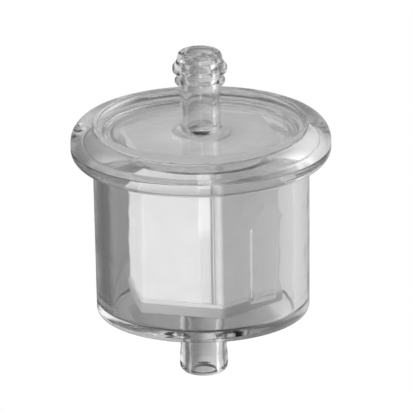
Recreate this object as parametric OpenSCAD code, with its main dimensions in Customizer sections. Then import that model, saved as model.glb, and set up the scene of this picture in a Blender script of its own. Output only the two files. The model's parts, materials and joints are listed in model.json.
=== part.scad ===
// In-line fuel filter for a small engine, in millimetres.
// The origin is the centre of the inlet nipple's mouth, and +Z runs along the flow to the outlet.

/* [Bowl] */
// Outside radius of the bowl at its floor
bowl_foot_r = 17; // [16.5:0.1:18]
// Outside radius of the bowl just under its flange
bowl_top_r = 17.25; // [17:0.05:18.2]
// Height of the bowl's side, from its foot to its flange
bowl_h = 25.2; // [20:0.2:40]
// Thickness of the bowl's side
wall = 2.4; // [1.6:0.1:2.6]
// Thickness of the bowl's floor
floor_t = 1.3; // [1:0.1:2.5]
// Rounding where the floor turns up into the side, outside
foot_round = 1; // [0.5:0.1:1.5]
// Rounding of the same corner inside
inside_round = 0.8; // [0.4:0.1:1.2]

/* [Rim] */
// Outside radius of the round-edged rim
rim_r = 20.75; // [20:0.05:22]
// Thickness of the bowl's flange, the lower half of the rim
flange_t = 2.6; // [2.2:0.1:4]
// Rounding of the flange's lower edge
flange_round = 2.2; // [1:0.1:2.2]
// Fillet between the bowl's side and its flange
flange_fillet = 0.6; // [0.3:0.1:1]
// Height of the cap's half of the rim
cap_rim_t = 3.8; // [3.4:0.1:5]
// Rounding of the cap's upper outer edge
cap_round = 3.2; // [2:0.1:3.3]
// Rounding of the rim's inner edge, down to the disc
crest_round = 1.1; // [0.6:0.1:1.4]

/* [Cap] */
// Thickness of the flat disc inside the rim
disc_t = 1.5; // [1:0.1:1.8]
// Radius of the hollow under the disc
cap_hollow_r = 14.2; // [14:0.1:14.4]
// Height of the tongue on the bowl, which the cap's groove takes
tongue_h = 1.4; // [1:0.1:1.6]
// Width of the tongue
tongue_w = 1.6; // [1.2:0.1:1.8]
// Middle radius of the tongue
tongue_r = 16.4; // [16.2:0.05:16.6]
// Height of the fused weld bead on top of the tongue
bead_h = 0.3; // [0.2:0.05:0.4]

/* [Nipples] */
// Radius of the bore through both nipples
bore_r = 2.1; // [1.8:0.1:2.2]
// Chamfer at the outlet's mouth
mouth_chamfer = 0.3; // [0.2:0.05:0.4]
// Length of the inlet nipple below the bowl
inlet_len = 10.4; // [9:0.2:16]
// Radius of the inlet nipple's stem
inlet_stem_r = 3.7; // [3.5:0.05:3.75]
// Radius of the inlet nipple's crest
inlet_crest_r = 3.85; // [3.8:0.05:4.1]
// Length of the round land along the inlet's crest
inlet_land = 1.2; // [1:0.1:2]
// Rounding of the inlet nipple's tip
inlet_round = 1.3; // [1:0.1:1.4]
// Fillet where the inlet nipple meets the bowl's floor
inlet_fillet = 1.6; // [1:0.1:2]
// Length of the outlet nipple above the disc
outlet_len = 12.9; // [12:0.1:18]
// Radius of the outlet nipple's stem
outlet_stem_r = 3.2; // [3:0.05:3.3]
// Radius of the outlet nipple's neck, between its tip and its upper barb
outlet_neck_r = 3.6; // [3.4:0.05:3.8]
// Radius of the upper barb's crest
upper_barb_r = 4.35; // [4.2:0.05:4.6]
// Radius of the lower barb's crest
lower_barb_r = 4; // [3.85:0.05:4.2]
// Radius of the valley between the two barbs
valley_r = 3.65; // [3.4:0.05:3.75]
// Rounding of the outlet nipple's tip
outlet_round = 1.2; // [0.8:0.1:1.2]
// Fillet where the outlet nipple meets the disc
outlet_fillet = 0.8; // [0.5:0.1:1.5]

/* [Flow arrow] */
// Height that the arrow stands off the bowl's side
arrow_raise = 0.35; // [0.2:0.05:0.5]
// Whole length of the arrow
arrow_len = 16; // [10:0.5:18]
// Width of the arrow's shaft
shaft_w = 4.6; // [3:0.1:5]
// Width of the arrow's head
head_w = 6.6; // [5.5:0.1:8]
// Length of the arrow's head
head_len = 2.8; // [2:0.1:4]
// Height of the arrow's tail above the bowl's foot
arrow_low = 6.4; // [3:0.1:8]
// Turn of the arrow round the bowl, from -Y towards +X
arrow_turn = 34; // [0:1:90]

/* [Cartridge] */
// Number of flat sides that the filter paper is wrapped into
sides = 6; // [6:1:8]
// Radius of the paper's outer corners
paper_r = 12.6; // [12:0.1:13]
// Thickness of the paper
paper_t = 0.5; // [0.4:0.1:0.8]
// Turn of the cartridge about Z, which leads one corner to the front
cartridge_turn = 43.5; // [0:0.5:59]
// Gap between the bowl's floor and the lower end plate
floor_gap = 1.6; // [1:0.1:4]
// Radius of the upper end plate's corners
upper_plate_r = 13.4; // [13.2:0.1:13.7]
// Thickness of the upper end plate
upper_plate_t = 1; // [0.8:0.1:1.2]
// Thickness of the lower end plate
lower_plate_t = 1.6; // [0.8:0.1:2]
// Radius of the hole in the upper end plate, over which the outlet sits
plate_hole_r = 2.6; // [2.2:0.1:2.8]
// Thickness of the seal between the upper end plate and the cap
seal_t = 0.6; // [0.4:0.1:0.7]
// Outside radius of that seal
seal_r = 4.8; // [4.4:0.1:8]
// Height of each glue ring
glue_h = 0.7; // [0.5:0.1:1]
// Depth that the paper is bedded into each glue ring
bed_depth = 0.5; // [0.3:0.1:0.5]
// Width of the strip that closes the paper's seam
seam_w = 2.1; // [1.6:0.1:4]
// Distance of that strip from the front corner
seam_gap = 1.1; // [0.4:0.1:3]
// Thickness of the seam strip
seam_t = 0.25; // [0.2:0.05:0.5]

/* [Support cage] */
// Radius of each flat-sided corner post
post_r = 1; // [0.8:0.1:1.2]
// Width of the hoops that join the posts
hoop_w = 1.2; // [1:0.1:1.6]
// Height of each hoop
hoop_h = 1; // [0.8:0.1:1.6]
// Number of hoops
hoops = 5; // [3:1:7]
// Slack between the cage and the paper
cage_slack = 0.1; // [0.05:0.05:0.2]

/* [Hidden] */

$fn = 96;
slip = 0.08; // side clearance of the tongue in its groove
lap = 0.2; // how far united shapes run into each other
over = 1; // how far a cutting shape runs past what it cuts
post_inset = 0.1; // how far the cage's posts sit in from its hoops' corners

// Heights along Z, from the inlet's mouth upwards
foot_z = inlet_len;
floor_z = foot_z + floor_t;
flange_z = foot_z + bowl_h;
joint_z = flange_z + flange_t;
crest_z = joint_z + cap_rim_t;
disc_z = crest_z - crest_round;
under_disc_z = disc_z - disc_t;
tongue_z = joint_z + tongue_h;
top_z = disc_z + outlet_len;

// The outlet nipple's profile, as distances down from its top
upper_barb = 2.5;
barb_land = 0.8;
valley = 3.8;
valley_land = 0.3;
lower_barb = 4.7;
lower_land = 0.4;
barb_end = 6;

// The cartridge, hung under the cap's disc
seal_z = under_disc_z - seal_t;
upper_plate_z = seal_z - upper_plate_t;
lower_plate_z = floor_z + floor_gap;
stack_z = lower_plate_z + lower_plate_t;
stack_h = upper_plate_z - stack_z;
flat_ratio = cos(180 / sides);
paper_flat = paper_r * flat_ratio;
paper_in_r = paper_r - paper_t / flat_ratio;
cage_r = paper_in_r - cage_slack / flat_ratio;
post_axis_r = cage_r - post_r - post_inset;
lower_plate_r = paper_r + 0.4;
glue_out_r = paper_r + 0.25;
glue_in_r = paper_in_r - 0.1 / flat_ratio;
neck_wall = 0.8;
neck_gap = 0.1;

function bowl_r(z) = bowl_foot_r + (bowl_top_r - bowl_foot_r) * (z - foot_z) / bowl_h;

// A concave fillet in a profile, between a stem of radius r and a face at height z.
module root_fillet(r, z, f, up) {
  translate([r - lap, up ? z : z - f])
    difference() {
      square([f + lap, f]);
      translate([f + lap, up ? f : 0]) circle(r = f);
    }
}

// A nipple's bore as a profile.
module bore_profile(low_z, high_z) {
  translate([-over, low_z - over]) square([over + bore_r, high_z - low_z + 2 * over]);
}

// A prism with the cartridge's sides.
module sided_prism(r, h) {
  rotate([0, 0, cartridge_turn]) linear_extrude(height = h) circle(r = r, $fn = sides);
}

module sided_ring(r_out, r_in, h) {
  difference() {
    sided_prism(r_out, h);
    translate([0, 0, -over]) sided_prism(r_in, h + 2 * over);
  }
}

module round_ring(r_out, r_in, h) {
  difference() {
    cylinder(r = r_out, h = h);
    translate([0, 0, -over]) cylinder(r = r_in, h = h + 2 * over);
  }
}

// The bowl's outside as a profile: tapered side, rounded foot and round-edged flange.
module bowl_outside() {
  round_r = rim_r - flange_round;
  polygon([[0, foot_z], [bowl_foot_r - foot_round, foot_z], [bowl_foot_r, foot_z + foot_round],
    [bowl_top_r, flange_z], [bowl_top_r, joint_z], [0, joint_z]]);
  translate([bowl_foot_r - foot_round, foot_z + foot_round]) circle(r = foot_round);
  translate([0, flange_z]) square([round_r, flange_t]);
  translate([0, flange_z + flange_round]) square([rim_r, flange_t - flange_round]);
  translate([round_r, flange_z + flange_round]) circle(r = flange_round);
  root_fillet(bowl_top_r, flange_z, flange_fillet, false);
}

module bowl_cavity() {
  in_foot_r = bowl_foot_r - wall;
  in_top_r = bowl_top_r - wall;
  polygon([[0, floor_z], [in_foot_r - inside_round, floor_z], [in_foot_r, floor_z + inside_round],
    [in_top_r, joint_z], [in_top_r, tongue_z + over], [0, tongue_z + over]]);
  translate([in_foot_r - inside_round, floor_z + inside_round]) circle(r = inside_round);
}

// The inlet nipple as a profile: rounded tip, low crest, plain stem and root fillet.
module inlet_outside() {
  tip_r = inlet_crest_r - inlet_round;
  land_top = inlet_round + inlet_land;
  taper_top = land_top + 1.5;
  polygon([[0, 0], [tip_r, 0], [inlet_crest_r, inlet_round], [inlet_crest_r, land_top],
    [inlet_stem_r, taper_top], [inlet_stem_r, foot_z + lap], [0, foot_z + lap]]);
  translate([tip_r, inlet_round]) circle(r = inlet_round);
  root_fillet(inlet_stem_r, foot_z, inlet_fillet, false);
}

// The raised arrow, bent round the bowl's side, with its point towards the outlet.
module flow_arrow() {
  low_z = foot_z + arrow_low;
  neck_z = arrow_len - head_len;
  high_z = low_z + arrow_len + over;
  start_z = low_z - over;
  intersection() {
    rotate([0, 0, arrow_turn]) translate([0, 0, low_z]) rotate([90, 0, 0])
      linear_extrude(height = rim_r)
        polygon([[-shaft_w / 2, 0], [shaft_w / 2, 0], [shaft_w / 2, neck_z], [head_w / 2, neck_z],
          [0, arrow_len], [-head_w / 2, neck_z], [-shaft_w / 2, neck_z]]);
    rotate_extrude()
      polygon([[bowl_r(start_z) - lap, start_z], [bowl_r(start_z) + arrow_raise, start_z],
        [bowl_r(high_z) + arrow_raise, high_z], [bowl_r(high_z) - lap, high_z]]);
  }
}

module bowl() {
  color([0.86, 0.88, 0.88, 0.45])
    union() {
      rotate_extrude()
        difference() {
          union() {
            bowl_outside();
            inlet_outside();
            translate([tongue_r - tongue_w / 2, joint_z - lap]) square([tongue_w, tongue_h + lap]);
          }
          bowl_cavity();
          bore_profile(0, floor_z);
        }
      flow_arrow();
    }
}

// The outlet nipple as a profile: root fillet, plain stem, two barbs and rounded tip.
module outlet_outside() {
  tip_r = outlet_neck_r - outlet_round;
  polygon([[0, disc_z - lap], [outlet_stem_r, disc_z - lap], [outlet_stem_r, top_z - barb_end],
    [lower_barb_r, top_z - lower_barb - lower_land], [lower_barb_r, top_z - lower_barb],
    [valley_r, top_z - valley - valley_land], [valley_r, top_z - valley],
    [upper_barb_r, top_z - upper_barb - barb_land], [upper_barb_r, top_z - upper_barb],
    [outlet_neck_r, top_z - outlet_round], [tip_r, top_z], [0, top_z]]);
  translate([tip_r, top_z - outlet_round]) circle(r = outlet_round);
  root_fillet(outlet_stem_r, disc_z, outlet_fillet, true);
}

// The cap's half of the rim as a profile, rounded outside and inside of its crest.
module cap_rim() {
  outer_r = rim_r - cap_round;
  inner_r = outer_r - crest_round;
  edge_z = crest_z - cap_round;
  translate([0, under_disc_z]) square([inner_r, disc_t]);
  translate([cap_hollow_r, joint_z]) square([outer_r - cap_hollow_r + lap, disc_z - joint_z]);
  translate([outer_r, joint_z]) square([cap_round, edge_z - joint_z]);
  translate([outer_r, disc_z]) circle(r = crest_round);
  intersection() {
    translate([outer_r, edge_z]) circle(r = cap_round);
    translate([outer_r, joint_z]) square([cap_round, cap_rim_t]);
  }
}

module cap() {
  groove_r = tongue_r - tongue_w / 2 - slip;
  groove_w = tongue_w + 2 * slip;
  color([0.86, 0.88, 0.88, 0.45])
    rotate_extrude()
      difference() {
        union() {
          cap_rim();
          outlet_outside();
        }
        translate([groove_r, joint_z - over]) square([groove_w, over + tongue_h + bead_h]);
        bore_profile(under_disc_z, top_z);
        polygon([[0, top_z - mouth_chamfer], [bore_r, top_z - mouth_chamfer],
          [bore_r + mouth_chamfer, top_z], [bore_r + mouth_chamfer, top_z + over], [0, top_z + over]]);
      }
}

module weld_bead() {
  color([0.8, 0.81, 0.81])
    translate([0, 0, tongue_z])
      round_ring(tongue_r + tongue_w / 2, tongue_r - tongue_w / 2, bead_h);
}

module filter_paper() {
  paper_h = stack_h - 2 * (glue_h - bed_depth);
  color([0.95, 0.95, 0.93])
    translate([0, 0, stack_z + glue_h - bed_depth]) sided_ring(paper_r, paper_in_r, paper_h);
}

// The strip lies on the flat side to the left of the front corner.
module seam_strip() {
  side_len = 2 * paper_r * sin(180 / sides);
  side_turn = cartridge_turn + 180 / sides + 3 * 360 / sides;
  color([0.97, 0.97, 0.95])
    rotate([0, 0, side_turn])
      translate([paper_flat, side_len / 2 - seam_w - seam_gap, stack_z + glue_h])
        cube([seam_t, seam_w, stack_h - 2 * glue_h]);
}

module support_cage() {
  hoop_step = (stack_h - hoop_h) / (hoops - 1);
  color([0.82, 0.83, 0.83])
    translate([0, 0, stack_z])
      union() {
        for (i = [0:hoops - 1])
          translate([0, 0, i * hoop_step]) sided_ring(cage_r, cage_r - hoop_w / flat_ratio, hoop_h);
        for (i = [0:sides - 1])
          rotate([0, 0, cartridge_turn + i * 360 / sides])
            translate([post_axis_r, 0, 0]) cylinder(r = post_r, h = stack_h, $fn = sides);
      }
}

module upper_end_plate() {
  color([0.78, 0.79, 0.79])
    difference() {
      union() {
        translate([0, 0, upper_plate_z]) sided_prism(upper_plate_r, upper_plate_t);
        translate([0, 0, upper_plate_z])
          cylinder(r = plate_hole_r + neck_wall, h = upper_plate_t + seal_t - neck_gap);
      }
      translate([0, 0, upper_plate_z - over])
        cylinder(r = plate_hole_r, h = upper_plate_t + seal_t + 2 * over);
    }
}

module lower_end_plate() {
  color([0.52, 0.53, 0.53]) translate([0, 0, lower_plate_z]) sided_prism(lower_plate_r, lower_plate_t);
}

// A glue ring round the cartridge's edge. The paper's end stands in it from paper_z up or down.
module glue_ring(low_z, paper_z) {
  difference() {
    translate([0, 0, low_z]) sided_ring(glue_out_r, glue_in_r, glue_h);
    translate([0, 0, paper_z]) sided_ring(paper_r, paper_in_r, bed_depth + over);
  }
}

module upper_glue_ring() {
  color([0.9, 0.88, 0.8]) glue_ring(upper_plate_z - glue_h, upper_plate_z - glue_h - over);
}

module lower_glue_ring() {
  color([0.9, 0.88, 0.8]) glue_ring(stack_z, stack_z + glue_h - bed_depth);
}

module outlet_seal() {
  color([0.74, 0.74, 0.73])
    translate([0, 0, seal_z]) round_ring(seal_r, plate_hole_r + neck_wall, seal_t);
}

bowl();
cap();
weld_bead();
filter_paper();
seam_strip();
support_cage();
upper_end_plate();
lower_end_plate();
upper_glue_ring();
lower_glue_ring();
outlet_seal();
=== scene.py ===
"""Looks of a clear in-line fuel filter: a welded plastic casing, a six-sided paper cartridge inside,
and the soft studio round it. Shapes are given in millimetres and made into metres by mesh_object."""

import json
import math

import bmesh
import bpy
from mathutils import Matrix, Vector, noise


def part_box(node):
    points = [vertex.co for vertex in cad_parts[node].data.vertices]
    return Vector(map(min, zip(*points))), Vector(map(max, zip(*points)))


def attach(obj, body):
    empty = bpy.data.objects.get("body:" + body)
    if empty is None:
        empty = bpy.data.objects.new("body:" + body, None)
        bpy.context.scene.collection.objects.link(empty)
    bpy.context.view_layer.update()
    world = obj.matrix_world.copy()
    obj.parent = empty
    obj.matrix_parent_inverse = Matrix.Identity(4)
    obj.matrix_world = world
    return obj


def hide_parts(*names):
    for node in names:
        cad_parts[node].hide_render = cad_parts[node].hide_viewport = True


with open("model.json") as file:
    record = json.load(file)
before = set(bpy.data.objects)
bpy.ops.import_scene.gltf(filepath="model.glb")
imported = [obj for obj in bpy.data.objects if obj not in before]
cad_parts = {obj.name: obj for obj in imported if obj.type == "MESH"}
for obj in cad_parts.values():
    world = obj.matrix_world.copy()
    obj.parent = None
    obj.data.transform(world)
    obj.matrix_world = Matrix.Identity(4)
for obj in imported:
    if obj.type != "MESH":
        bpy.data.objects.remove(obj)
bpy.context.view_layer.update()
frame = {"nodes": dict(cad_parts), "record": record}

MM = 0.001


def low(node):
    """The height of a CAD node's lowest point, in millimetres."""
    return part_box(node)[0].z / MM


def high(node):
    """The height of a CAD node's highest point, in millimetres."""
    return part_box(node)[1].z / MM


# ---------------------------------------------------------------- sizes, in millimetres
RIM_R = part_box("bowl")[1].x / MM
JOINT_Z = low("cap")
TONGUE_Z = high("bowl")
TOP_Z = high("cap")
BEAD_TOP = high("weld_bead")
UNDER_DISC_Z = high("outlet_seal")
BORE_R = frame["record"]["mounts"][0]["dims"]["r_mm"]

FOOT_Z = 10.4
FOOT_R = 17.0
BOWL_TOP_R = 17.25
WALL = 2.4
FLOOR_Z = FOOT_Z + 1.3
FLANGE_Z = JOINT_Z - 2.6
CREST_Z = JOINT_Z + 3.8
DISC_Z = UNDER_DISC_Z + 1.5
CREST_IN_R = 16.45
TONGUE_IN, TONGUE_OUT = 15.6, 17.2
HOLLOW_R = 14.2
SLIP = 0.08
JOINT_GAP = 0.03

INLET_CREST_R = 3.85
INLET_STEM_R = 3.7
STEM_R = 3.2
NECK_R = 3.6
UPPER_BARB_R = 4.35
LOWER_BARB_R = 4.0
VALLEY_R = 3.65

ARROW_TURN = 34.0
ARROW_LOW = FOOT_Z + 6.4
ARROW_LEN = 16.0
ARROW_HEAD = 2.8
ARROW_SHAFT_W = 4.6
ARROW_HEAD_W = 6.6
ARROW_RAISE = 0.35

SIDES = 6
CARTRIDGE_TURN = 43.5
FLAT_RATIO = math.cos(math.pi / SIDES)
PAPER_R = 12.6
PAPER_T = 0.5
CORNER_ROUND = 0.7
SEAM_W = 2.1
SEAM_T = 0.25
SEAM_GAP = 1.1

# ---------------------------------------------------------------- camera
VIEW_ELEVATION = math.radians(18.92)
VIEW_ROLL = math.radians(0.84)
VIEW_DISTANCE = 1.5
VIEW_WIDTH = 0.06592
SENSOR = 36.0
# The point that the view is centred on, on the plane through the flow axis that faces the camera
AIM_RIGHT = 0.00067
AIM_UP = 0.01641


def make_camera():
    forward = Vector((0, math.cos(VIEW_ELEVATION), -math.sin(VIEW_ELEVATION)))
    up = Vector((0, math.sin(VIEW_ELEVATION), math.cos(VIEW_ELEVATION)))
    aim = Vector((AIM_RIGHT, 0, FOOT_Z * MM)) + up * AIM_UP
    data = bpy.data.cameras.new("camera")
    data.type = "PERSP"
    data.sensor_width = SENSOR
    data.lens = SENSOR * VIEW_DISTANCE / VIEW_WIDTH
    data.clip_start, data.clip_end = 0.05, 20
    camera = bpy.data.objects.new("camera", data)
    bpy.context.scene.collection.objects.link(camera)
    turn = forward.to_track_quat("-Z", "Y").to_matrix() @ Matrix.Rotation(-VIEW_ROLL, 3, "Z")
    camera.matrix_world = Matrix.Translation(aim - forward * VIEW_DISTANCE) @ turn.to_4x4()
    bpy.context.scene.camera = camera


make_camera()


# ---------------------------------------------------------------- mesh helpers
def mesh_object(name, vertices, faces):
    """A smooth closed mesh from points in millimetres, with its normals turned outwards."""
    bm = bmesh.new()
    points = [bm.verts.new(Vector(v) * MM) for v in vertices]
    for face in faces:
        bm.faces.new([points[i] for i in face])
    bmesh.ops.recalc_face_normals(bm, faces=bm.faces)
    if bm.calc_volume(signed=True) < 0:
        bmesh.ops.reverse_faces(bm, faces=bm.faces)
    for face in bm.faces:
        face.smooth = True
    mesh = bpy.data.meshes.new(name)
    bm.to_mesh(mesh)
    bm.free()
    piece = bpy.data.objects.new(name, mesh)
    bpy.context.scene.collection.objects.link(piece)
    return piece


def skin(name, loops, ring=True):
    """Joins loops of equally many points by quads. A ring also joins its last loop to its first;
    anything else is closed by a face over each end."""
    count = len(loops[0])
    vertices = [p for loop in loops for p in loop]
    faces = []
    for i in range(len(loops) if ring else len(loops) - 1):
        a, b = i * count, ((i + 1) % len(loops)) * count
        for j in range(count):
            k = (j + 1) % count
            faces.append((a + j, a + k, b + k, b + j))
    if not ring:
        faces.append(list(range(count)))
        faces.append(list(range(len(vertices) - 1, len(vertices) - count - 1, -1)))
    return mesh_object(name, vertices, faces)


def rounded_outline(corners, arc_step=7.5, support=0.06, spans=None):
    """A closed outline of (r, z) points from corners (r, z, rounding). Each corner becomes an arc,
    with a support point on the straight stretch to either side. spans gives, for the index of the
    corner that a straight stretch starts at, the most that its points may lie apart."""
    spans = spans or {}
    out = []
    count = len(corners)
    ends = []
    for i, (r, z, rounding) in enumerate(corners):
        here = Vector((r, z))
        back = (Vector(corners[i - 1][:2]) - here).normalized()
        on = (Vector(corners[(i + 1) % count][:2]) - here).normalized()
        half = back.angle(on) / 2
        cut = rounding / math.tan(half)
        centre = here + (back + on).normalized() * (rounding / math.sin(half))
        start, end = here + back * cut, here + on * cut
        steps = max(2, math.ceil(math.degrees(math.pi - 2 * half) / arc_step))
        a0, a1 = start - centre, end - centre
        sweep = a0.angle_signed(a1)
        arc = []
        for s in range(steps + 1):
            angle = -sweep * s / steps
            c, n = math.cos(angle), math.sin(angle)
            arc.append(centre + Vector((a0.x * c - a0.y * n, a0.x * n + a0.y * c)))
        ends.append((arc, end, on))
    for i, (arc, end, on) in enumerate(ends):
        out += arc
        next_start = ends[(i + 1) % count][0][0]
        gap = (next_start - end).length
        if gap > 3 * support:
            pieces = max(1, math.ceil((gap - 2 * support) / spans.get(i, 4.0)))
            for s in range(pieces + 1):
                out.append(end + on * (support + (gap - 2 * support) * s / pieces))
    return out


def even_turns(count):
    return [2 * math.pi * i / count for i in range(count)]


def lathe(name, outline, turns, reshape=None):
    """Turns a closed outline about Z. reshape may move each point, given (r, z, turn)."""
    loops = []
    for turn in turns:
        c, s = math.cos(turn), math.sin(turn)
        loop = []
        for r, z in outline:
            if reshape:
                r = reshape(r, z, turn)
            loop.append((r * c, r * s, z))
        loops.append(loop)
    return skin(name, loops)


def smooth_step(value, edge0, edge1):
    t = min(max((value - edge0) / (edge1 - edge0), 0.0), 1.0)
    return t * t * (3 - 2 * t)


# ---------------------------------------------------------------- the bowl
def arrow_outline():
    shaft, head, neck = ARROW_SHAFT_W / 2, ARROW_HEAD_W / 2, ARROW_LEN - ARROW_HEAD
    right = [(shaft, 0), (shaft, neck), (head, neck)]
    left = [(-head, neck), (-shaft, neck)]
    return [(-shaft, 0)] + right + [(0, ARROW_LEN)] + left


ARROW = arrow_outline()


def depth_in_arrow(x, y):
    """How far a point lies inside the arrow's outline, negative outside."""
    nearest, inside = 1e9, False
    for i, (ax, ay) in enumerate(ARROW):
        bx, by = ARROW[(i + 1) % len(ARROW)]
        ex, ey = bx - ax, by - ay
        t = min(max(((x - ax) * ex + (y - ay) * ey) / (ex * ex + ey * ey), 0.0), 1.0)
        nearest = min(nearest, math.hypot(x - ax - t * ex, y - ay - t * ey))
        if (ay > y) != (by > y) and x < ax + ex * (y - ay) / ey:
            inside = not inside
    return nearest if inside else -nearest


ARROW_CENTRE = math.radians(ARROW_TURN - 90)
# Half the width of the slope at the arrow's edge, on its shaft and on its gentler head
SHAFT_SLOPE, HEAD_SLOPE = 0.4, 0.7


def raise_arrow(r, z, turn):
    """Lifts the outside of the bowl's side inside the arrow's outline."""
    if r < FOOT_R - WALL / 2 or not ARROW_LOW - 1 < z < ARROW_LOW + ARROW_LEN + 1:
        return r
    across = math.remainder(turn - ARROW_CENTRE, 2 * math.pi) * r
    if abs(across) > ARROW_HEAD_W / 2 + 1:
        return r
    depth = depth_in_arrow(across, z - ARROW_LOW)
    neck = ARROW_LEN - ARROW_HEAD
    slope = SHAFT_SLOPE + (HEAD_SLOPE - SHAFT_SLOPE) * smooth_step(z - ARROW_LOW, neck - 1.5, neck)
    return r + ARROW_RAISE * smooth_step(depth, -slope, slope)


def bowl_turns():
    """Turns round the bowl, closer together where the arrow is."""
    half = math.asin((ARROW_HEAD_W / 2 + 0.5) / FOOT_R)
    fine, coarse = 76, 190
    turns = [ARROW_CENTRE - half + 2 * half * i / fine for i in range(fine)]
    rest = 2 * math.pi - 2 * half
    return turns + [ARROW_CENTRE + half + rest * i / coarse for i in range(coarse)]


def make_bowl():
    in_foot_r, in_top_r = FOOT_R - WALL, BOWL_TOP_R - WALL
    top = JOINT_Z - JOINT_GAP
    corners = [
        (BORE_R, 0, 0.3),
        (INLET_CREST_R, 0, 1.3),
        (INLET_CREST_R, 2.5, 0.8),
        (INLET_STEM_R, 4.0, 1.5),
        (INLET_STEM_R, FOOT_Z, 1.6),
        (FOOT_R, FOOT_Z, 1.0),
        (BOWL_TOP_R, FLANGE_Z, 0.6),
        (RIM_R, FLANGE_Z, 2.2),
        (RIM_R, top, 0.12),
        (TONGUE_OUT, top, 0.06),
        (TONGUE_OUT, TONGUE_Z, 0.15),
        (TONGUE_IN, TONGUE_Z, 0.15),
        (TONGUE_IN, top, 0.06),
        (in_top_r, top, 0.25),
        (in_foot_r, FLOOR_Z, 0.8),
        (BORE_R, FLOOR_Z, 0.3),
    ]
    side = 5
    outline = rounded_outline(corners, spans={side: 0.2})
    return lathe("clear_bowl", outline, bowl_turns(), raise_arrow)


# ---------------------------------------------------------------- the cap
def make_cap():
    bottom = JOINT_Z + JOINT_GAP
    groove_in, groove_out = TONGUE_IN - SLIP, TONGUE_OUT + SLIP
    corners = [
        (BORE_R, UNDER_DISC_Z, 0.25),
        (HOLLOW_R, UNDER_DISC_Z, 0.4),
        (HOLLOW_R, bottom, 0.2),
        (groove_in, bottom, 0.1),
        (groove_in, BEAD_TOP, 0.1),
        (groove_out, BEAD_TOP, 0.1),
        (groove_out, bottom, 0.1),
        (RIM_R, bottom, 0.12),
        (RIM_R, CREST_Z, 3.2),
        (CREST_IN_R, CREST_Z, 0.7),
        (CREST_IN_R, DISC_Z, 0.35),
        (STEM_R, DISC_Z, 0.8),
        (STEM_R, TOP_Z - 6.0, 0.35),
        (LOWER_BARB_R, TOP_Z - 5.1, 0.18),
        (LOWER_BARB_R, TOP_Z - 4.7, 0.18),
        (VALLEY_R, TOP_Z - 4.1, 0.15),
        (VALLEY_R, TOP_Z - 3.8, 0.15),
        (UPPER_BARB_R, TOP_Z - 3.3, 0.25),
        (UPPER_BARB_R, TOP_Z - 2.5, 0.3),
        (NECK_R, TOP_Z - 1.4, 0.4),
        (NECK_R, TOP_Z, 1.05),
        (BORE_R, TOP_Z, 0.3),
    ]
    return lathe("clear_cap", rounded_outline(corners), even_turns(288))


def make_bead():
    inset = 0.02
    corners = [
        (TONGUE_IN + inset, TONGUE_Z + inset, 0.08),
        (TONGUE_OUT - inset, TONGUE_Z + inset, 0.08),
        (TONGUE_OUT - inset, BEAD_TOP - inset, 0.08),
        (TONGUE_IN + inset, BEAD_TOP - inset, 0.08),
    ]

    def uneven(r, z, turn):
        """A fused bead's edges wander a little."""
        middle = (TONGUE_IN + TONGUE_OUT) / 2
        wander = noise.noise(Vector((math.cos(turn) * 9, math.sin(turn) * 9, z)))
        return middle + (r - middle) * (0.86 + 0.12 * wander)

    return lathe("fused_bead", rounded_outline(corners), even_turns(288), uneven)


# ---------------------------------------------------------------- the cartridge
def sided_angles(flat_r, corner_round, corner_steps=8, flat_steps=20):
    """Points round a polygon with rounded corners, as (x, y) in millimetres."""
    points = []
    step = math.pi / SIDES
    reach = (flat_r - corner_round) / FLAT_RATIO
    half_flat = (flat_r - corner_round) * math.tan(step)
    for side in range(SIDES):
        corner = math.radians(CARTRIDGE_TURN) + 2 * step * side
        cx, cy = reach * math.cos(corner), reach * math.sin(corner)
        for i in range(corner_steps + 1):
            a = corner - step + 2 * step * i / corner_steps
            points.append((cx + corner_round * math.cos(a), cy + corner_round * math.sin(a)))
        normal = corner + step
        nx, ny = math.cos(normal), math.sin(normal)
        for i in range(1, flat_steps):
            t = i / flat_steps
            along = -half_flat + 2 * half_flat * (0.5 - 0.5 * math.cos(math.pi * t))
            points.append((flat_r * nx - along * ny, flat_r * ny + along * nx))
    return points


def sided_loop(flat_r, corner_round, z):
    return [(x, y, z) for x, y in sided_angles(flat_r, corner_round)]


def round_loop(r, z):
    """A circle whose points lie at the same turns as those of a sided loop."""
    turns = [math.atan2(y, x) for x, y in sided_angles(PAPER_R * FLAT_RATIO, CORNER_ROUND)]
    return [(r * math.cos(t), r * math.sin(t), z) for t in turns]


PAPER_LOW, PAPER_HIGH = low("filter_paper"), high("filter_paper")
PAPER_FLAT = PAPER_R * FLAT_RATIO


def paper_ripple(x, y, z):
    """How far the paper stands in or out: it is drawn in between the cage's hoops and wavers."""
    hoop_pitch = (PAPER_HIGH - PAPER_LOW) / 4
    drawn_in = 0.05 * math.sin(math.pi * (z - PAPER_LOW) / hoop_pitch) ** 2
    waver = 0.07 * noise.noise(Vector((x * 0.22, y * 0.22, z * 0.12)))
    return waver - drawn_in


def rippled(loop):
    out = []
    for x, y, z in loop:
        length = math.hypot(x, y)
        scale = 1 + paper_ripple(x, y, z) / length
        out.append((x * scale, y * scale, z))
    return out


def make_paper():
    rows = 60
    in_flat = PAPER_FLAT - PAPER_T
    heights = [PAPER_LOW + (PAPER_HIGH - PAPER_LOW) * i / rows for i in range(rows + 1)]
    outer = [rippled(sided_loop(PAPER_FLAT, CORNER_ROUND, z)) for z in heights]
    inner = [rippled(sided_loop(in_flat, CORNER_ROUND - 0.3, z)) for z in reversed(heights)]
    return skin("filter_paper_wrap", outer + inner)


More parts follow.
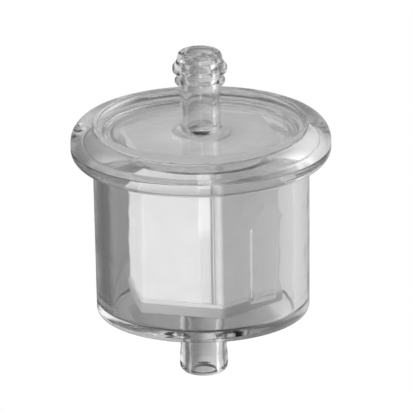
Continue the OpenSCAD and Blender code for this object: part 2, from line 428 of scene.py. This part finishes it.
def make_glue(name, node, toward):
    """A glue ring with a sagging fillet towards the paper. toward is 1 if the paper stands above."""
    z_low, z_high = low(node), high(node)
    in_flat = PAPER_FLAT - PAPER_T - 0.1
    out_flat = PAPER_FLAT + 0.25 * FLAT_RATIO
    plate_side, paper_side = (z_low, z_high) if toward > 0 else (z_high, z_low)
    shoulder = paper_side - toward * 0.3
    loops = [
        sided_loop(in_flat, CORNER_ROUND - 0.3, plate_side),
        sided_loop(out_flat, CORNER_ROUND + 0.2, plate_side),
        sided_loop(out_flat, CORNER_ROUND + 0.2, plate_side + toward * 0.15),
        sided_loop(out_flat - 0.04, CORNER_ROUND + 0.2, shoulder),
        sided_loop(out_flat - 0.12, CORNER_ROUND + 0.1, paper_side - toward * 0.12),
        sided_loop(PAPER_FLAT + 0.02, CORNER_ROUND, paper_side),
        sided_loop(in_flat, CORNER_ROUND - 0.3, paper_side),
    ]
    return skin(name, loops)


def plate_side_loops(flat_r, z_low, z_high, edge=0.18):
    """The rounded outer edge of an end plate, from its underside up to its top."""
    loops = []
    steps = 5
    for z_mid, start in ((z_low + edge, -math.pi / 2), (z_high - edge, 0)):
        for i in range(steps + 1):
            a = start + math.pi / 2 * i / steps
            reach = flat_r - edge + edge * math.cos(a)
            loops.append(sided_loop(reach, CORNER_ROUND + 0.3, z_mid + edge * math.sin(a)))
    return loops


UPPER_PLATE_FLAT = 13.4 * FLAT_RATIO
LOWER_PLATE_FLAT = (PAPER_R + 0.4) * FLAT_RATIO
# Within this radius the plates' loops are round
ROUND_R = 9.0


def make_lower_plate():
    z_low, z_high = low("lower_end_plate"), high("lower_end_plate")
    dimple = 0.25
    loops = [round_loop(0.6, z_low + dimple), round_loop(1.6, z_low + dimple), round_loop(2.2, z_low)]
    loops += [round_loop(ROUND_R, z_low)]
    loops += plate_side_loops(LOWER_PLATE_FLAT, z_low, z_high)
    loops += [round_loop(ROUND_R, z_high), round_loop(0.6, z_high)]
    return skin("closed_end_plate", loops, ring=False)


def make_upper_plate():
    z_low = low("upper_end_plate")
    z_high = low("outlet_seal")
    neck_top = high("upper_end_plate")
    hole, neck = 2.6, 3.4
    round_off = 0.12
    loops = [round_loop(hole, z_low), round_loop(ROUND_R, z_low)]
    loops += plate_side_loops(UPPER_PLATE_FLAT, z_low, z_high)
    loops += [round_loop(ROUND_R, z_high), round_loop(neck + 0.02, z_high)]
    loops += [round_loop(neck - 0.01, z_high + 0.05)]
    loops += [round_loop(neck - 0.01, neck_top - round_off), round_loop(neck - round_off, neck_top)]
    loops += [round_loop(hole + round_off, neck_top), round_loop(hole, neck_top - round_off)]
    return skin("open_end_plate", loops)


def make_seal():
    z_low, z_high = low("outlet_seal"), high("outlet_seal")
    out_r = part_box("outlet_seal")[1].x / MM
    inset = 0.01
    corners = [
        (3.42, z_low + inset, 0.1),
        (out_r, z_low + inset, 0.2),
        (out_r, z_high - inset, 0.2),
        (3.42, z_high - inset, 0.1),
    ]
    return lathe("seal_ring", rounded_outline(corners), even_turns(128))


SEAM_TURN = math.radians(CARTRIDGE_TURN + 210)
SEAM_NORMAL = Vector((math.cos(SEAM_TURN), math.sin(SEAM_TURN)))
SEAM_ALONG = Vector((-SEAM_NORMAL.y, SEAM_NORMAL.x))
SEAM_START = PAPER_R * math.sin(math.pi / SIDES) - SEAM_GAP - SEAM_W
CRIMP = SEAM_W - 0.4


def make_seam():
    """The strip that closes the paper, along one flat side: its right-hand part is crimped into a narrow
    groove, which, with painted shade laid along it in the seam's material, shows as the dark line down the
    front."""
    z_low, z_high = low("seam_strip"), high("seam_strip")
    rows, columns = 120, 60
    edge = 0.1
    normal, along, start = SEAM_NORMAL, SEAM_ALONG, SEAM_START
    loops = []
    for i in range(rows + 1):
        z = z_low + (z_high - z_low) * i / rows
        end_fade = smooth_step(min(z - z_low, z_high - z), 0.0, edge)
        front, back = [], []
        for j in range(columns + 1):
            across = SEAM_W * j / columns
            fade = smooth_step(min(across, SEAM_W - across), 0.0, edge) * end_fade
            wander = 0.04 * noise.noise(Vector((0, 0, z * 0.4)))
            groove = max(0.0, 1 - abs(across - CRIMP + wander) / 0.28)
            lift = 0.08 + (SEAM_T - 0.09) * fade * (1 - 0.95 * smooth_step(groove, 0.0, 1.0))
            spot = normal * (PAPER_FLAT + lift) + along * (start + across)
            front.append((spot.x, spot.y, z))
            spot = normal * (PAPER_FLAT + 0.01) + along * (start + across)
            back.append((spot.x, spot.y, z))
        loops.append(front + back[::-1])
    return skin("seam_band", loops, ring=False)


# ---------------------------------------------------------------- materials
def node(tree, kind, **sockets):
    """A new node with some of its input sockets set, each by name or by number in the form _0."""
    made = tree.nodes.new(kind)
    for key, value in sockets.items():
        name = int(key[1:]) if key.startswith("_") else key.replace("_", " ")
        made.inputs[name].default_value = value
    return made


def grey(value, alpha=1.0):
    return (value, value, value, alpha)


def noise_field(tree, scale, detail=3.0, roughness=0.5, stretch=(1, 1, 1)):
    """Object-space noise, its pattern about 1 / scale metres across. Returns the value socket."""
    where = tree.nodes.new("ShaderNodeTexCoord")
    sized = node(tree, "ShaderNodeMapping", Scale=stretch)
    tree.links.new(where.outputs["Object"], sized.inputs["Vector"])
    field = node(tree, "ShaderNodeTexNoise", Scale=scale, Detail=detail, Roughness=roughness)
    tree.links.new(sized.outputs["Vector"], field.inputs["Vector"])
    return field.outputs["Fac"]


def ranged(tree, source, low_value, high_value, start=0.3, end=0.7):
    made = tree.nodes.new("ShaderNodeMapRange")
    made.inputs["From Min"].default_value = start
    made.inputs["From Max"].default_value = end
    made.inputs["To Min"].default_value = low_value
    made.inputs["To Max"].default_value = high_value
    tree.links.new(source, made.inputs["Value"])
    return made.outputs["Result"]


def blend_colours(tree, source, first, second):
    ramp = tree.nodes.new("ShaderNodeValToRGB")
    ramp.color_ramp.elements[0].color = first
    ramp.color_ramp.elements[1].color = second
    ramp.color_ramp.elements[0].position = 0.3
    ramp.color_ramp.elements[1].position = 0.7
    tree.links.new(source, ramp.inputs["Fac"])
    return ramp.outputs["Color"]


def bumped(tree, shader, layers):
    """Chains Bump nodes onto shader's Normal from (height socket, distance in metres) pairs."""
    previous = None
    for height, distance in layers:
        bump = tree.nodes.new("ShaderNodeBump")
        bump.inputs["Distance"].default_value = distance
        tree.links.new(height, bump.inputs["Height"])
        if previous:
            tree.links.new(previous, bump.inputs["Normal"])
        previous = bump.outputs["Normal"]
    tree.links.new(previous, shader.inputs["Normal"])


def new_material(name):
    material = bpy.data.materials.new(name)
    material.use_nodes = True
    tree = material.node_tree
    shader = tree.nodes["Principled BSDF"]
    return material, tree, shader


def clear_plastic(name, tint):
    """Clear moulded plastic: faintly wavy where it cooled, finely brushed by handling, and open to
    the lamps, so that what it holds is lit."""
    material, tree, shader = new_material(name)
    shader.inputs["Base Color"].default_value = grey(tint)
    shader.inputs["Transmission Weight"].default_value = 1.0
    shader.inputs["IOR"].default_value = 1.5
    wave = noise_field(tree, 170.0, 2.0)
    handling = noise_field(tree, 900.0, 4.0, 0.6)
    fine = noise_field(tree, 5200.0, 2.0)
    tree.links.new(ranged(tree, handling, 0.015, 0.07), shader.inputs["Roughness"])
    bumped(tree, shader, [(wave, 0.00006), (fine, 0.0000015)])
    path = tree.nodes.new("ShaderNodeLightPath")
    open_way = node(tree, "ShaderNodeBsdfTransparent", Color=grey(tint))
    mix = tree.nodes.new("ShaderNodeMixShader")
    tree.links.new(path.outputs["Is Shadow Ray"], mix.inputs[0])
    tree.links.new(shader.outputs["BSDF"], mix.inputs[1])
    tree.links.new(open_way.outputs["BSDF"], mix.inputs[2])
    tree.links.new(mix.outputs["Shader"], tree.nodes["Material Output"].inputs["Surface"])
    return material


def paper_material(name, shade, fibre=0.00004):
    """Resin-treated filter paper: matt, fibrous, with faint mottling."""
    material, tree, shader = new_material(name)
    fibres = noise_field(tree, 2600.0, 5.0, 0.65, (1, 1, 0.35))
    mottle = noise_field(tree, 420.0, 3.0)
    colour = blend_colours(tree, mottle, grey(shade * 0.955), grey(shade))
    tree.links.new(colour, shader.inputs["Base Color"])
    tree.links.new(ranged(tree, fibres, 0.82, 0.98), shader.inputs["Roughness"])
    shader.inputs["Specular IOR Level"].default_value = 0.25
    shader.inputs["Subsurface Weight"].default_value = 0.4
    shader.inputs["Subsurface Radius"].default_value = (1.0, 1.0, 1.0)
    shader.inputs["Subsurface Scale"].default_value = 0.0015
    bumped(tree, shader, [(mottle, 0.00006), (fibres, fibre)])
    return material


def seam_material_painted_crease_shade():
    """Seam tape, darkened along its crimp groove by painted shade."""
    material = paper_material("seam_band", 0.9, 0.00001)
    tree = material.node_tree
    shader = tree.nodes["Principled BSDF"]
    where = tree.nodes.new("ShaderNodeTexCoord")
    along = tree.nodes.new("ShaderNodeVectorMath")
    along.operation = "DOT_PRODUCT"
    along.inputs[1].default_value = (SEAM_ALONG.x, SEAM_ALONG.y, 0)
    tree.links.new(where.outputs["Object"], along.inputs[0])
    centred = tree.nodes.new("ShaderNodeMath")
    centred.operation = "SUBTRACT"
    centred.inputs[1].default_value = (SEAM_START + CRIMP) * MM
    tree.links.new(along.outputs["Value"], centred.inputs[0])
    away = tree.nodes.new("ShaderNodeMath")
    away.operation = "ABSOLUTE"
    tree.links.new(centred.outputs["Value"], away.inputs[0])
    # Painted shade: the seam's colour falls to 0.62 within 0.28 mm of the crimp groove, where shade would
    # lie.
    shade = ranged(tree, away.outputs["Value"], 0.62, 1.0, 0.1 * MM, 0.28 * MM)
    mix = tree.nodes.new("ShaderNodeVectorMath")
    mix.operation = "SCALE"
    tree.links.new(shader.inputs["Base Color"].links[0].from_socket, mix.inputs[0])
    tree.links.new(shade, mix.inputs["Scale"])
    tree.links.new(mix.outputs["Vector"], shader.inputs["Base Color"])
    return material


def plain_plastic(name, shade, gloss, translucency=0.15):
    """Natural moulded plastic, a little milky."""
    material, tree, shader = new_material(name)
    cloud = noise_field(tree, 300.0, 3.0)
    grain = noise_field(tree, 3800.0, 3.0)
    tree.links.new(blend_colours(tree, cloud, grey(shade * 0.95), grey(shade)), shader.inputs["Base Color"])
    tree.links.new(ranged(tree, grain, gloss, gloss + 0.14), shader.inputs["Roughness"])
    shader.inputs["Subsurface Weight"].default_value = translucency
    shader.inputs["Subsurface Radius"].default_value = (0.001, 0.001, 0.001)
    shader.inputs["Subsurface Scale"].default_value = 1.0
    bumped(tree, shader, [(grain, 0.000006)])
    return material


def seal_rubber():
    material, tree, shader = new_material("seal_rubber")
    bloom = noise_field(tree, 700.0, 4.0)
    grain = noise_field(tree, 4200.0, 2.0)
    tree.links.new(blend_colours(tree, bloom, grey(0.58), grey(0.66)), shader.inputs["Base Color"])
    tree.links.new(ranged(tree, grain, 0.45, 0.65), shader.inputs["Roughness"])
    bumped(tree, shader, [(grain, 0.00001)])
    return material


# ---------------------------------------------------------------- pieces
def dress(piece, material, slot, *nodes):
    """Gives a piece its material, lets it ride on the casing and puts it in the place of CAD nodes."""
    piece.data.materials.clear()
    piece.data.materials.append(material)
    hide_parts(*nodes)
    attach(piece, "root")


CASING_TINT = 0.945
dress(make_bowl(), clear_plastic("clear_bowl_plastic", CASING_TINT), "clear_bowl", "bowl")
dress(make_cap(), clear_plastic("clear_cap_plastic", CASING_TINT), "clear_cap", "cap")
dress(make_bead(), plain_plastic("fused_plastic", 0.75, 0.3, 0.4), "weld", "weld_bead")
dress(make_paper(), paper_material("filter_paper", 0.88), "paper", "filter_paper")
dress(make_seam(), seam_material_painted_crease_shade(), "seam", "seam_strip")
plate_finish = plain_plastic("plate_plastic", 0.82, 0.35)
dress(make_upper_plate(), plate_finish, "plate_plastic", "upper_end_plate")
# The lower plate's grey, much darker than the upper plate's, is partly its own tone and partly painted
# shade for its edge under the paper's foot.
dress(make_lower_plate(), plain_plastic("grey_plastic", 0.44, 0.4), "grey_plastic", "lower_end_plate")
glue_finish = plain_plastic("set_glue", 0.7, 0.2, 0.3)
dress(make_glue("upper_glue", "upper_glue_ring", -1), glue_finish, "glue", "upper_glue_ring")
dress(make_glue("lower_glue", "lower_glue_ring", 1), glue_finish, "glue", "lower_glue_ring")
dress(make_seal(), seal_rubber(), "seal_rubber", "outlet_seal")


def dress_cage():
    """The cage keeps its CAD mesh, with its edges broken by a small bevel."""
    cage = frame["nodes"]["support_cage"]
    finish = plain_plastic("cage_plastic", 0.75, 0.4)
    for place in cage.material_slots:
        place.material = finish
    bevel = cage.modifiers.new("broken_edges", "BEVEL")
    bevel.width = 0.1 * MM
    bevel.segments = 2
    bevel.limit_method = "ANGLE"


dress_cage()


# ---------------------------------------------------------------- studio
HUB = Vector((0, 0, 0.028))


def direction(azimuth, elevation):
    """Towards a place round the object: azimuth 0 is the camera's side, positive to its right."""
    a, e = math.radians(azimuth), math.radians(elevation)
    return Vector((math.sin(a) * math.cos(e), -math.cos(a) * math.cos(e), math.sin(e)))


def make_floor():
    """A seamless white sheet, lit evenly from below, which only the camera sees."""
    half = 3.0
    corners = [(-half, -half, 0), (half, -half, 0), (half, half, 0), (-half, half, 0)]
    mesh = bpy.data.meshes.new("floor")
    mesh.from_pydata(corners, [], [(0, 1, 2, 3)])
    floor = bpy.data.objects.new("floor", mesh)
    floor.location.z = -0.0002
    bpy.context.scene.collection.objects.link(floor)
    material = bpy.data.materials.new("lit_sheet")
    material.use_nodes = True
    tree = material.node_tree
    tree.nodes.remove(tree.nodes["Principled BSDF"])
    glow = node(tree, "ShaderNodeEmission", Color=grey(1.0), Strength=1.0)
    tree.links.new(glow.outputs["Emission"], tree.nodes["Material Output"].inputs["Surface"])
    mesh.materials.append(material)
    floor.visible_diffuse = False
    floor.visible_glossy = False
    floor.visible_transmission = False
    floor.visible_shadow = False


def make_world():
    """A light tent: its brightness by height, plus soft panels, each towards one direction."""
    world = bpy.data.worlds.new("studio")
    world.use_nodes = True
    tree = world.node_tree
    where = tree.nodes.new("ShaderNodeTexCoord")
    split = tree.nodes.new("ShaderNodeSeparateXYZ")
    tree.links.new(where.outputs["Generated"], split.inputs["Vector"])
    height = tree.nodes.new("ShaderNodeMapRange")
    height.inputs["From Min"].default_value = -1.0
    height.inputs["From Max"].default_value = 1.0
    tree.links.new(split.outputs["Z"], height.inputs["Value"])
    ramp = tree.nodes.new("ShaderNodeValToRGB")
    ramp.color_ramp.interpolation = "EASE"
    stops = ramp.color_ramp.elements
    for i, (elevation, value) in enumerate(TENT):
        place = 0.5 + 0.5 * math.sin(math.radians(elevation))
        stop = stops[i] if i < 2 else stops.new(place)
        stop.position = place
        stop.color = grey(value)
    tree.links.new(height.outputs["Result"], ramp.inputs["Fac"])
    total = ramp.outputs["Color"]
    for azimuth, elevation, half_angle, softness, gain in PANELS:
        dot = tree.nodes.new("ShaderNodeVectorMath")
        dot.operation = "DOT_PRODUCT"
        dot.inputs[1].default_value = direction(azimuth, elevation)
        tree.links.new(where.outputs["Generated"], dot.inputs[0])
        spot = tree.nodes.new("ShaderNodeMapRange")
        spot.interpolation_type = "SMOOTHSTEP"
        spot.inputs["From Min"].default_value = math.cos(math.radians(half_angle + softness))
        spot.inputs["From Max"].default_value = math.cos(math.radians(max(half_angle - softness, 0)))
        spot.inputs["To Max"].default_value = gain
        tree.links.new(dot.outputs["Value"], spot.inputs["Value"])
        join = tree.nodes.new("ShaderNodeVectorMath")
        join.operation = "ADD"
        tree.links.new(total, join.inputs[0])
        tree.links.new(spot.outputs["Result"], join.inputs[1])
        total = join.outputs["Vector"]
    background = tree.nodes["Background"]
    tree.links.new(total, background.inputs["Color"])
    white = node(tree, "ShaderNodeBackground", Color=grey(1.0), Strength=1.0)
    path = tree.nodes.new("ShaderNodeLightPath")
    mix = tree.nodes.new("ShaderNodeMixShader")
    tree.links.new(path.outputs["Is Camera Ray"], mix.inputs[0])
    tree.links.new(background.outputs["Background"], mix.inputs[1])
    tree.links.new(white.outputs["Background"], mix.inputs[2])
    tree.links.new(mix.outputs["Shader"], tree.nodes["World Output"].inputs["Surface"])
    # The casing mirrors and bends the tent; the lamps alone light the matt pieces inside it
    world.cycles_visibility.diffuse = False
    bpy.context.scene.world = world


def soft_box(name, azimuth, elevation, distance, width, height, radiance):
    """An even panel of light. radiance is what a mirror would show in its face."""
    data = bpy.data.lights.new(name, "AREA")
    data.shape = "RECTANGLE"
    data.size, data.size_y = width, height
    data.energy = radiance * math.pi * width * height
    lamp = bpy.data.objects.new(name, data)
    lamp.location = HUB + direction(azimuth, elevation) * distance
    lamp.rotation_mode = "QUATERNION"
    lamp.rotation_quaternion = (HUB - lamp.location).to_track_quat("-Z", "Y")
    lamp.visible_camera = False
    bpy.context.scene.collection.objects.link(lamp)
    return lamp


# The tent's brightness at each elevation in degrees: dim below, brighter above. The ends come first.
TENT = [(-90, 0.05), (90, 0.5), (0, 0.2)]
# Lamps for the matt pieces: name, azimuth, elevation, radiance
SOFT_BOXES = [
    ("key", -30, 30, 16),
    ("side", -80, 10, 12),
    ("fill", 30, 20, 6),
    ("low", 20, -25, 8),
    ("back_left", -145, 15, 12),
    ("back_right", 145, 15, 12),
]
# Panels that the casing mirrors and bends: azimuth, elevation, half angle, softness, gain
PANELS = [
    (-30, 0, 35, 20, 0.7),
    (90, 0, 30, 20, 0.7),
    (-90, 0, 30, 20, 0.4),
    (140, 0, 40, 20, 0.5),
]

LAMP_DISTANCE, LAMP_SIZE = 0.8, 0.3
# The strip that makes the highlight down the front
STRIP_PLACE = Vector((0.0035, -0.077, 0.0413))
STRIP_WIDTH, STRIP_HEIGHT, STRIP_RADIANCE = 0.015, 0.067, 4

make_floor()
make_world()
for name, azimuth, elevation, radiance in SOFT_BOXES:
    lamp = soft_box(name, azimuth, elevation, LAMP_DISTANCE, LAMP_SIZE, LAMP_SIZE, radiance)
    lamp.visible_glossy = False
    lamp.visible_transmission = False
strip = soft_box("front_strip", 0, 0, 1, STRIP_WIDTH, STRIP_HEIGHT, STRIP_RADIANCE)
strip.location = STRIP_PLACE
strip.rotation_quaternion = Vector((0, 1, 0)).to_track_quat("-Z", "Y")
strip.visible_diffuse = False
strip.visible_transmission = False

render_scene = bpy.context.scene
render_scene.view_settings.view_transform = "Standard"
render_scene.cycles.use_denoising = True
render_scene.cycles.max_bounces = 24
render_scene.cycles.transmission_bounces = 24
render_scene.cycles.glossy_bounces = 8
render_scene.cycles.transparent_max_bounces = 24
render_scene.cycles.caustics_refractive = False
render_scene.cycles.caustics_reflective = False
